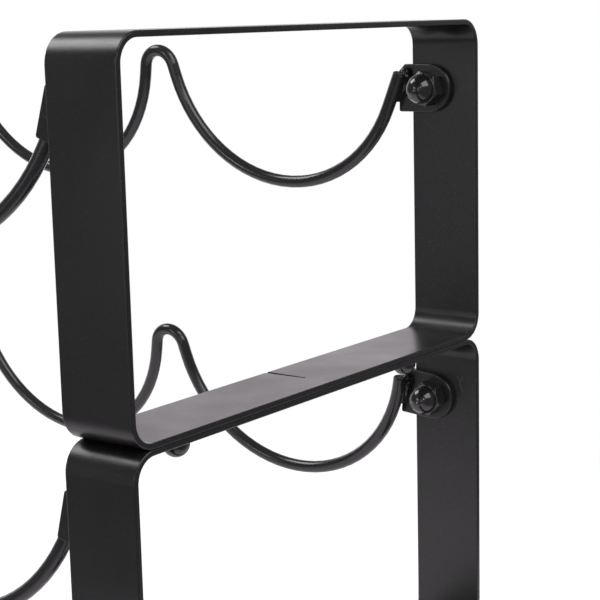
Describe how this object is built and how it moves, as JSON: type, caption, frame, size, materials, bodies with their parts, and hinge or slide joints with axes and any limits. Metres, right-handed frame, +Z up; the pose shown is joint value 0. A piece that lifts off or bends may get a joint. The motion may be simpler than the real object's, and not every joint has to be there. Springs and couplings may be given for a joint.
{
  "type": "wine rack",
  "caption": "Low black wine rack: stacked end loops of bent steel strip joined by scalloped wire rails that cradle bottles lying front to back, held by cap nuts.",
  "frame": {"origin": "centre of the footprint, on the surface the rack stands on", "axes": "+X along the row of bottles towards the right end loops, +Y from the front to the back (along a lying bottle), +Z up"},
  "size_m": [0.4764, 0.1706, 0.2072],
  "materials": {
    "strip_powder_coat": "semi-gloss black powder coat on bent steel strip",
    "wire_powder_coat": "semi-gloss black powder coat on round steel wire",
    "black_zinc": "glossy black plated steel fasteners"
  },
  "bodies": {
    "root": {"end_loop_left_bottom": "strip_powder_coat", "end_loop_right_bottom": "strip_powder_coat", "wave_rail_front_bottom": "wire_powder_coat", "wave_rail_back_bottom": "wire_powder_coat", "rail_tab_front_left_bottom": "strip_powder_coat", "rail_tab_front_right_bottom": "strip_powder_coat", "rail_tab_back_left_bottom": "strip_powder_coat", "rail_tab_back_right_bottom": "strip_powder_coat", "rail_studs_bottom": "black_zinc", "rail_cap_nuts_bottom": "black_zinc", "end_loop_left_top": "strip_powder_coat", "end_loop_right_top": "strip_powder_coat", "wave_rail_front_top": "wire_powder_coat", "wave_rail_back_top": "wire_powder_coat", "rail_tab_front_left_top": "strip_powder_coat", "rail_tab_front_right_top": "strip_powder_coat", "rail_tab_back_left_top": "strip_powder_coat", "rail_tab_back_right_top": "strip_powder_coat", "rail_studs_top": "black_zinc", "rail_cap_nuts_top": "black_zinc", "stacking_studs_top_on_bottom": "black_zinc", "stacking_cap_nuts_top_on_bottom": "black_zinc"}
  },
  "joints": []
}
